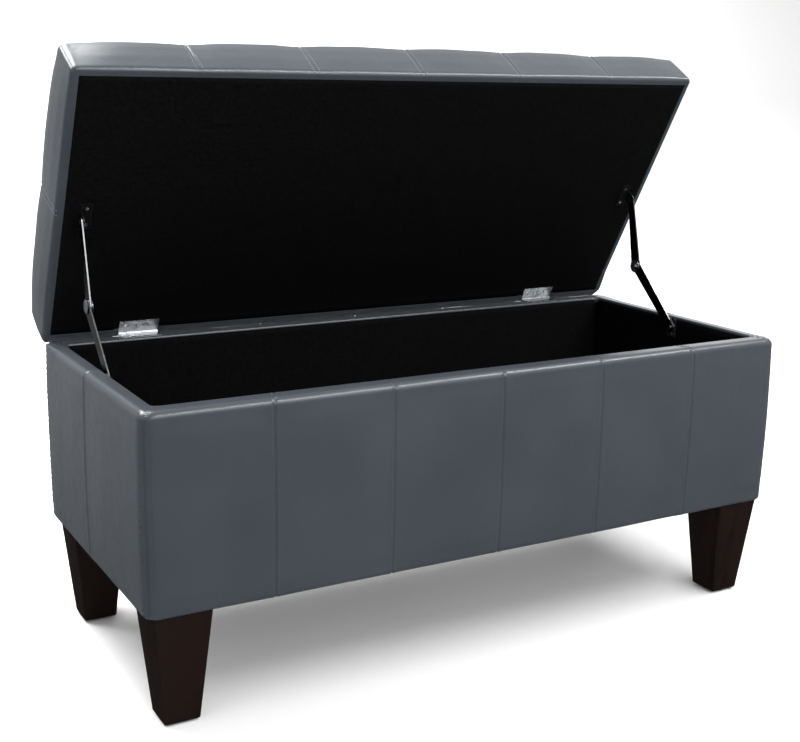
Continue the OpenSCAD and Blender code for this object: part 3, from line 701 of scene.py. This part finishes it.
def lid_surface(side, s, q):
    """Cover at s along a side and q up its section: 0 inner edge of the underside, 1 bottom edge, 2 band,
    3 top edge, 4 top, 5 middle. Returns points on the flat-lying lid and the distance to the nearest seam."""
    s, q = np.broadcast_arrays(np.asarray(s, float), np.asarray(q, float))
    low_r, high_r = lid_under_r, lid_corner_r
    a_low = np.clip(q - 1, 0, 1) * math.pi / 2
    a_high = np.clip(q - 3, 0, 1) * math.pi / 2
    parts = [q <= 1, q <= 2, q <= 3, q <= 4]
    inset = np.select(parts, [fold_in - (fold_in - low_r) * q, low_r * (1 - np.sin(a_low)), 0 * q,
                              high_r * (1 - np.cos(a_high))], high_r + (q - 4) * (lid_half - high_r))
    p, out = lid_plan(side, s, inset)
    height = lid_height(p[..., 0], p[..., 1])
    band = low_r + np.clip(q - 2, 0, 1) * (height - high_r - low_r)
    p[..., 2] = np.select(parts, [0 * q, low_r * (1 - np.cos(a_low)), band,
                                  height - high_r * (1 - np.sin(a_high))], height)
    up = np.select(parts, [-1 + 0 * q, -np.cos(a_low), 0 * q, np.sin(a_high)], 1.0)
    flat = np.sqrt(np.clip(1 - up ** 2, 0, 1))
    n = out * flat[..., None]
    n[..., 2] = up
    share = np.interp(q, [0.9, 2.0, 2.4, 3.2, 4.0], [0.0, 0.12, 0.4, 0.65, 1.0])
    rise, near = lid_cloth(p, share)
    back = np.clip(out[..., 1], 0, 1)
    rise = rise * (1 - 0.85 * back * np.interp(q, [2.8, 3.6], [1.0, 0.0]))
    from_corner = np.hypot(half_x - np.abs(p[..., 0]), lid_half - np.abs(p[..., 1] - lid_mid))
    swell = np.interp(q, *side_bulge) * (1 - 0.75 * np.exp(-(from_corner / 38) ** 2))
    bulge = swell[..., None] * out
    bulge[..., 1] += back ** 0.7 * (np.interp(q, *rear_bulge) - back ** 0.3 * swell)
    end = (half_x if SIDES[side][0][0] else lid_half) - lid_corner_r
    from_mitre = end + lid_corner_r * math.pi / 4 - np.abs(s)
    mitre = seam_shape(from_mitre, 0.45, 1.6) * np.interp(q, [1.0, 1.5, 3.5, 4.0], [0.0, 1.0, 1.0, 0.0])
    p = p + n * (rise + mitre)[..., None] + bulge
    at_back = np.clip((p[..., 1] - lid_back + 48) / 35, 0, 1)
    p[..., 2] -= tuck(p[..., 0]) * at_back * np.interp(q, [0.45, 1.0, 1.6, 2.1], [0.0, 1.0, 1.0, 0.0])
    return p, np.minimum(near, from_mitre + 20 * (q > 3.9))


def lid_mesh(name, material):
    """The whole cover: a ring of section rows round the edge, filled in by a grid on top."""
    long_marks = [panel_w * k for k in range(3)] + [half_x - lid_corner_r]
    short_marks = [0.0, lid_half - lid_corner_r]
    xs, ys = mirrored(long_marks, 4.5, 1.1, 9.0), mirrored(short_marks, 4.5, 1.1, 9.0)
    q_rows = np.concatenate([[0, 0.5], np.linspace(1, 2, 6), np.linspace(2, 3, 17)[1:],
                             np.linspace(3, 4, 10)[1:]])
    corner = lid_corner_r * math.pi / 4 * np.linspace(0, 1, 10)[1:]
    ring = []
    for side in ("front", "right", "rear", "left"):
        line = xs if SIDES[side][0][0] else ys
        line = np.concatenate([line[0] - corner[::-1], line, line[-1] + corner[:-1]])
        p, near = lid_surface(side, line[:, None], q_rows[None, :])
        ring.append((p, near))
    points = np.concatenate([p for p, _ in ring])
    near = np.concatenate([n for _, n in ring])
    count, rows = points.shape[0], points.shape[1]
    faces = [[i * rows + j, ((i + 1) % count) * rows + j, ((i + 1) % count) * rows + j + 1, i * rows + j + 1]
             for i in range(count) for j in range(rows - 1)]
    gx, gy = np.meshgrid(xs, ys + lid_mid, indexing="ij")
    top = np.stack([gx, gy, lid_height(gx, gy)], -1)
    rise, near_top = lid_cloth(top, 1.0)
    top[..., 2] += rise
    start = count * rows
    faces += [list(f + start) for f in grid_faces(len(xs), len(ys))]
    mesh_points = np.concatenate([points.reshape(-1, 3), top.reshape(-1, 3)])
    obj = add_mesh(name, on_lid(mesh_points), faces, material, "lid")
    mark_seams(obj, np.exp(-(np.concatenate([near.ravel(), near_top.ravel()]) / 1.8) ** 2))
    weld = bmesh.new()
    weld.from_mesh(obj.data)
    bmesh.ops.remove_doubles(weld, verts=weld.verts, dist=0.12 * MM)
    bmesh.ops.recalc_face_normals(weld, faces=weld.faces)
    weld.to_mesh(obj.data)
    weld.free()
    obj.data.polygons.foreach_set("use_smooth", [True] * len(obj.data.polygons))
    return obj


lid_cover = lid_mesh("lid_cover", slate)
give_body(lid_cover, 1.4)
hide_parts("lid_cover")

lid_runs = []
lid_stitch_gap = 4.4
for side in SIDES:
    long_side = SIDES[side][0][0] != 0
    q_line = np.linspace(1.3, 5.0, 160) if long_side else np.linspace(1.3, 4.0, 60)
    for spot in long_seams if long_side else [0.0]:
        for shift in (-lid_stitch_gap, lid_stitch_gap):
            s_line = np.full_like(q_line, spot + shift)
            here, _ = lid_surface(side, s_line, q_line)
            du = lid_surface(side, s_line + 0.4, q_line)[0] - here
            dq = lid_surface(side, s_line, q_line + 0.01)[0] - here
            n = np.cross(du, dq)
            n /= np.maximum(np.linalg.norm(n, axis=-1, keepdims=True), 1e-9)
            lid_runs.append((on_lid(here + n * 0.1), turned(n)))
x_line = np.arange(-(half_x - lid_corner_r), half_x - lid_corner_r, 2.0)
for shift in (-lid_stitch_gap, lid_stitch_gap):
    middle = np.column_stack([x_line, np.full_like(x_line, lid_mid + shift), 0 * x_line])
    middle[:, 2] = lid_height(middle[:, 0], middle[:, 1]) + lid_cloth(middle, 1.0)[0]
    lid_runs.append((on_lid(middle), turned(np.tile([0, 0, 1.0], (len(middle), 1)))))
sew("stitches_lid", lid_runs, "lid", thread_mat)

# foam slab on the lid board, cut a little smaller than the cover
slab_low, slab_down = 14.3, 7.5
foam_rings = []
for inset, share in ((5.0, 0.0), (3.2, 0.06), (3.2, 0.5), (3.6, 0.8), (9.0, 0.97), (16.0, 1.0)):
    ring = []
    for side in ("front", "right", "rear", "left"):
        end = (half_x if SIDES[side][0][0] else lid_half) - lid_corner_r
        line = np.concatenate([-end - lid_corner_r * math.pi / 4 * np.array([1, 0.5]),
                               np.linspace(-end, end, 24), [end + lid_corner_r * math.pi / 8]])
        p, _ = lid_plan(side, line, np.full(len(line), inset))
        p[:, 2] = slab_low + (lid_height(p[:, 0], p[:, 1]) - slab_down - slab_low) * share
        ring.append(p)
    foam_rings.append(np.concatenate(ring))
n_ring = len(foam_rings[0])
foam_points = np.concatenate(foam_rings + [[[0, lid_mid, slab_low],
                                            [0, lid_mid, lid_height(0.0, lid_mid) - slab_down]]])
foam_faces = [[r * n_ring + i, r * n_ring + (i + 1) % n_ring,
               (r + 1) * n_ring + (i + 1) % n_ring, (r + 1) * n_ring + i]
              for r in range(len(foam_rings) - 1) for i in range(n_ring)]
last = (len(foam_rings) - 1) * n_ring
foam_faces += [[(i + 1) % n_ring, i, len(foam_points) - 2] for i in range(n_ring)]
foam_faces += [[last + i, last + (i + 1) % n_ring, len(foam_points) - 1] for i in range(n_ring)]
lid_foam = add_mesh("lid_foam", on_lid(foam_points), foam_faces, foam_mat, "lid")
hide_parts("lid_foam")

# ------------------------------------------------------------------ lining under the lid
# One sheet of the same black cloth, its edges turned under and stapled over the cover's raw edge. It
# stops 11 mm from the ends and the front and 7 mm from the back.

nu, nv = 120, 54
lining_wide, lining_deep = 2 * half_x - 22.0, 2 * lid_half - 18.0
u, v = np.meshgrid(np.linspace(0, 1, nu), np.linspace(0, 1, nv), indexing="ij")
cloth = np.stack([(u - 0.5) * lining_wide, lid_mid + 2.0 + (v - 0.5) * lining_deep, 0 * u - 0.25], -1)
cloth[..., 2] -= (tuck(cloth[..., 0]) + 0.2) * np.interp(lid_back - cloth[..., 1], [7.0, 12.0], [0.78, 0.0])
free = (16 * u * (1 - u) * v * (1 - v)) ** 0.35
from_edge = np.minimum(np.minimum(u, 1 - u) * lining_wide, np.minimum(v, 1 - v) * lining_deep)
rise = free * (0.5 * ripple(cloth, 120, 71) + 0.3 * ripple(cloth * [1, 0.35, 1], 50, 72) + 0.3)
pulls = np.exp(-from_edge / 15) * np.sin((u * lining_wide + v * lining_deep) / 8.0)
rise = rise + 0.22 * pulls * np.clip(from_edge / 4, 0, 1)
cloth[..., 2] -= np.clip(rise, -0.2, 1.6)
lid_lining = add_mesh("lid_lining", on_lid(cloth.reshape(-1, 3)), grid_faces(nu, nv, True),
                      cloth_mat, "lid")
give_body(lid_lining, 0.8)
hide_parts("lid_lining")

# ------------------------------------------------------------------ hinges
# Two steel butt hinges with rolled knuckles, zinc plated, screwed flat on the rim and under the lid with
# three countersunk screws in each leaf.

dress(["hinge_left_box_leaf", "hinge_right_box_leaf", "hinge_left_lid_leaf", "hinge_right_lid_leaf"],
      zinc, 0.00035)
dress(["hinge_pins"], zinc, 0.0003)


def screw_points(head_r, shank_r, length, sink):
    """A countersunk screw with a cross recess, head up at z = 0: points and faces."""
    around = 32
    angles = np.linspace(0, 2 * math.pi, around, endpoint=False)
    radii = [0.0, 0.35, 0.7, 1.0, 1.35, 1.7, 2.1, 2.6, head_r - 0.15, head_r]
    points, faces = [], []
    for r in radii:
        for a in angles:
            x, y = r * math.cos(a), r * math.sin(a)
            across, along = min(abs(x), abs(y)), max(abs(x), abs(y))
            cross = 1 / (1 + math.exp((across - 0.38) / 0.07)) / (1 + math.exp((along - 1.75) / 0.12))
            points.append([x, y, -0.95 * cross * (1 - 0.35 * r / 1.8) - 0.12 * (r / head_r) ** 6])
    below = [(shank_r, -sink)]
    z = -sink
    root_r = shank_r * 0.72
    while z > -length + 2.5:
        below += [(shank_r, z - 0.5), (root_r, z - 0.75), (root_r, z - 1.25), (shank_r, z - 1.5)]
        z -= 1.5
    below += [(0.05, -length)]
    for r, z in below:
        points += [[r * math.cos(a), r * math.sin(a), z] for a in angles]
    rows = len(radii) + len(below)
    for i in range(rows - 1):
        for j in range(around):
            k = (j + 1) % around
            faces.append([i * around + k, i * around + j, (i + 1) * around + j, (i + 1) * around + k])
    faces.append([(rows - 1) * around + j for j in range(around)])
    return np.array(points), faces


def set_of(name, shape, spots, body, material, packed=True):
    """Copies of one shape, each set at a point with its own +Z along a direction, as one piece. Those on
    the lid are placed with it lying flat."""
    points, faces = [], []
    base, quads = shape
    for n, (at, axis) in enumerate(spots):
        turn = np.array(Vector((0, 0, 1)).rotation_difference(Vector(axis)).to_matrix())
        cos, sin = math.cos(0.7 * n), math.sin(0.7 * n)
        roll = np.array([[cos, -sin, 0], [sin, cos, 0], [0, 0, 1]])
        faces += [[i + len(points) for i in q] for q in quads]
        points += list(base @ roll.T @ turn.T + np.array(at))
    obj = add_mesh(name, on_lid(points) if body == "lid" else points, faces, material, body)
    obj.modifiers.new("flat faces", "EDGE_SPLIT").split_angle = math.radians(40)
    if packed:
        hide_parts(name)


wood_screw = screw_points(3.4, 1.8, 14.0, 1.5)
screw_pitch, leaf_screw_y, leaf_t = 22.0, 15.0, 1.5
screw_x = [s * hinge_x + k * screw_pitch for s in (-1, 1) for k in (-1, 0, 1)]
set_of("hinge_screws_box", wood_screw,
       [((x, PIN_Y - leaf_screw_y, top_z + leaf_t), (0, 0, 1)) for x in screw_x], "box", zinc)
set_of("hinge_screws_lid", wood_screw,
       [((x, -leaf_screw_y, -leaf_t), (0, 0, -1)) for x in screw_x], "lid", zinc)

# ------------------------------------------------------------------ lid stays
# Folding stays of flat steel, one at each end: a bracket screwed to the end wall, two arms joined at a
# round elbow, and an angle bracket screwed up under the lid. Rivets hold the arms to the brackets.

stay_steel, stay_shader = new_material("stay steel", (0.55, 0.56, 0.58), 0.18, 1.0)
rub = noise(stay_steel, place(stay_steel), 160.0, 6.0)
# Painted reflection: faces turned towards the ends get a near-black colour standing in for the dark lining
# they mirror. The edges get a brighter colour as a painted highlight.
facing = add_node(stay_steel, "ShaderNodeSeparateXYZ",
                  {0: add_node(stay_steel, "ShaderNodeTexCoord").outputs["Normal"]}).outputs["X"]
flatness = add_node(stay_steel, "ShaderNodeMath", {0: facing}, operation="ABSOLUTE").outputs[0]
painted_face_mask = spread(stay_steel, flatness, 0.8, 0.97, 0.0, 1.0)
painted_reflection_mix = add_node(stay_steel, "ShaderNodeMix", {0: painted_face_mask}, data_type="RGBA")
painted_edge_highlight = ramp(stay_steel, rub, 0.3, 0.7, (0.15, 0.153, 0.158), (0.26, 0.265, 0.27))
painted_face_reflection = ramp(stay_steel, rub, 0.3, 0.8, (0.012, 0.012, 0.013), (0.04, 0.041, 0.043))
stay_steel.node_tree.links.new(painted_edge_highlight, painted_reflection_mix.inputs[6])
stay_steel.node_tree.links.new(painted_face_reflection, painted_reflection_mix.inputs[7])
feed(stay_steel, stay_shader, Base_Color=painted_reflection_mix.outputs[2],
     Roughness=spread(stay_steel, rub, 0.3, 0.75, 0.14, 0.32),
     Normal=bump(stay_steel, noise(stay_steel, place(stay_steel, (600, 60, 60)), 4.0), 0.08, 0.0001))
black_steel, black_shader = new_material("blackened steel", (0.012, 0.012, 0.013), 0.4, 0.6)
wear = noise(black_steel, place(black_steel), 220.0, 5.0)
feed(black_steel, black_shader, Roughness=spread(black_steel, wear, 0.3, 0.75, 0.3, 0.5),
     Base_Color=ramp(black_steel, wear, 0.55, 0.85, (0.01, 0.01, 0.011), (0.05, 0.05, 0.052)))
for side in ("left", "right"):
    dress(["stay_%s_box_bracket" % side], zinc, 0.0004)
    dress(["stay_%s_lower_arm" % side, "stay_%s_upper_arm" % side], stay_steel, 0.0004)
    dress(["stay_%s_lid_bracket" % side], black_steel, 0.0004)


def turned_shape(profile, around=32):
    """A lathed solid from (radius, height) pairs, closed at both ends."""
    points = [[r * math.cos(a), r * math.sin(a), z] for r, z in profile
              for a in np.linspace(0, 2 * math.pi, around, endpoint=False)]
    faces = [[i * around + j, i * around + (j + 1) % around,
              (i + 1) * around + (j + 1) % around, (i + 1) * around + j]
             for i in range(len(profile) - 1) for j in range(around)]
    faces.append(list(range(around - 1, -1, -1)))
    faces.append([(len(profile) - 1) * around + j for j in range(around)])
    return np.array(points), faces


def domed(radius, base, rise, to=1.5):
    """Rows of a low round dome for a turned shape."""
    return [(radius * math.cos(a), base + rise * math.sin(a)) for a in np.linspace(0, to, 7)]


# pivots as y and z: in the open bench for the box and elbow, on the flat-lying lid for the lid
low_pivot = (PIN_Y - 242.0, PIN_Z - 21.0)
lid_pivot = (-226.0, -13.0)
elbow = (PIN_Y - 143.04, PIN_Z + 73.72)
plate_t, rivet_r, rivet_len = 2.0, 2.5, 4.3
rivet_box = turned_shape([(rivet_r, -rivet_len), (rivet_r, -0.2), (4.0, -0.2)]
                         + domed(4.0, 0.1, 1.1, math.pi / 2 - 0.08))
rivet_lid = turned_shape([(rivet_r, -rivet_len), (rivet_r, -1.5),
                          (3.9, -0.1), (3.9, 0.0), (3.3, 0.0), (2.6, -0.25)])
washer = [(11.2, -0.2), (11.5, 0.1), (11.5, 0.6), (11.2, 0.9), (7.4, 0.9), (7.2, 1.3), (5.2, 1.3)]
elbow_head = turned_shape(washer + domed(4.4, 1.4, 1.6))
elbow_foot = turned_shape([(10.6, -0.2)] + domed(10.4, 0.0, 0.6))
set_of("stay_rivets_box", rivet_box, [((s * (room_x - rivet_len), *low_pivot), (-s, 0, 0)) for s in (-1, 1)],
       "box", zinc)
set_of("stay_rivets_lid", rivet_lid, [((s * (room_x - 4.6), *lid_pivot), (s, 0, 0)) for s in (-1, 1)],
       "lid", zinc)
for side, s in (("left", -1), ("right", 1)):
    set_of("stay_%s_elbow_rivet_head" % side, elbow_head, [((s * (room_x - 8.0), *elbow), (-s, 0, 0))],
           side + "_upper_arm", zinc, packed=False)
    set_of("stay_%s_elbow_rivet_foot" % side, elbow_foot, [((s * (room_x - 0.9), *elbow), (s, 0, 0))],
           side + "_lower_arm", zinc, packed=False)
set_of("stay_screws_box", wood_screw,
       [((s * (room_x - plate_t), low_pivot[0] + y, low_pivot[1] + z), (-s, 0, 0))
        for s in (-1, 1) for y, z in ((-5, -11), (3, 11))], "box", zinc)
set_of("stay_screws_lid", wood_screw,
       [((s * (room_x - 16.9), lid_pivot[0] + k * 14, -plate_t), (0, 0, -1))
        for s in (-1, 1) for k in (-1, 1)], "lid", zinc)

# ------------------------------------------------------------------ floor, light and camera
# A plain pale floor that curves up behind as one sheet, lit by broad soft lights from above, in front
# and behind. The sky is light overhead and dark below the horizon, which keeps the leatherette calm.

floor_mat, floor_shader = new_material("pale floor", (0.8, 0.8, 0.8), 0.6)
feed(floor_mat, floor_shader,
     Roughness=spread(floor_mat, noise(floor_mat, place(floor_mat), 3.0), 0.3, 0.7, 0.55, 0.65))
floor_shader.inputs["Specular IOR Level"].default_value = 0.1
sweep_points, sweep_y = [], [-9.0, 3.0, 4.5, 5.4, 5.9, 6.0, 6.0]
for y, z in zip(sweep_y, [0, 0, 0.15, 0.7, 1.6, 2.6, 7.0]):
    sweep_points += [[-12.0, y, z], [12.0, y, z]]
sweep_mesh = bpy.data.meshes.new("floor")
sweep_mesh.from_pydata(sweep_points, [],
                       [[2 * i, 2 * i + 1, 2 * i + 3, 2 * i + 2] for i in range(len(sweep_y) - 1)])
sweep = bpy.data.objects.new("floor", sweep_mesh)
bpy.context.scene.collection.objects.link(sweep)
sweep_mesh.materials.append(floor_mat)
sweep_mesh.polygons.foreach_set("use_smooth", [True] * len(sweep_mesh.polygons))
sweep.visible_glossy = False


def area_light(name, at, look_at, size, size_y, power):
    """A softbox: where it hangs, where it points, its width and height in metres, and its watts."""
    data = bpy.data.lights.new(name, "AREA")
    data.shape, data.size, data.size_y, data.energy = "RECTANGLE", size, size_y, power
    lamp = bpy.data.objects.new(name, data)
    bpy.context.scene.collection.objects.link(lamp)
    lamp.location = at
    lamp.visible_camera = False
    lamp.rotation_euler = (Vector(look_at) - Vector(at)).to_track_quat("-Z", "Y").to_euler()


area_light("overhead softbox", (-1.0, 1.3, 2.9), (0, 0, 0.3), 2.0, 1.7, 190)
area_light("strip softbox", (1.2, -1.35, 2.5), (0, -0.2, 0.4), 3.0, 0.3, 75)
area_light("left softbox", (-3.4, -1.4, 2.2), (0, 0, 0.4), 3.0, 2.4, 8)
area_light("front fill", (0.6, -4.0, 2.4), (0, 0, 0.3), 3.4, 1.8, 62)
area_light("rim softbox", (2.4, 2.1, 1.15), (0.5, 0, 0.45), 2.4, 0.7, 9)
area_light("backdrop light", (1.2, 2.6, 3.8), (1.2, 6.0, 1.2), 6.0, 0.8, 260)
world = bpy.data.worlds.new("studio")
world.use_nodes = True
sky = world.node_tree
tall = sky.nodes.new("ShaderNodeSeparateXYZ")
shade = sky.nodes.new("ShaderNodeValToRGB")
sky.links.new(sky.nodes.new("ShaderNodeTexCoord").outputs["Generated"], tall.inputs[0])
height = sky.nodes.new("ShaderNodeMapRange")
sky.links.new(tall.outputs["Z"], height.inputs[0])
height.inputs[1].default_value, height.inputs[2].default_value = -1.0, 1.0
sky.links.new(height.outputs[0], shade.inputs[0])
bands = shade.color_ramp.elements
bands[0].position, bands[0].color = 0.32, (0.03, 0.03, 0.03, 1)
bands[1].position, bands[1].color = 0.5, (0.5, 0.5, 0.5, 1)
top_band = bands.new(0.8)
top_band.color = (1, 1, 1, 1)
sky.links.new(shade.outputs[0], sky.nodes["Background"].inputs["Color"])
sky.nodes["Background"].inputs["Strength"].default_value = 0.9
bpy.context.scene.world = world
bpy.context.scene.view_settings.view_transform = "Standard"

eye = bpy.data.cameras.new("camera")
eye.lens, eye.sensor_width, eye.sensor_fit = 56.609, 36.0, "HORIZONTAL"
eye.clip_start = 0.05
camera = bpy.data.objects.new("camera", eye)
bpy.context.scene.collection.objects.link(camera)
right, up = Vector((0.86877, -0.49489, 0.01797)), Vector((0.09827, 0.20785, 0.97321))
ahead = Vector((0.48536, 0.84373, -0.22921))
turn = Matrix((right, up, -ahead)).transposed()
camera.matrix_world = Matrix.Translation((-0.9947, -1.69456, 0.8425)) @ turn.to_4x4()
bpy.context.scene.camera = camera
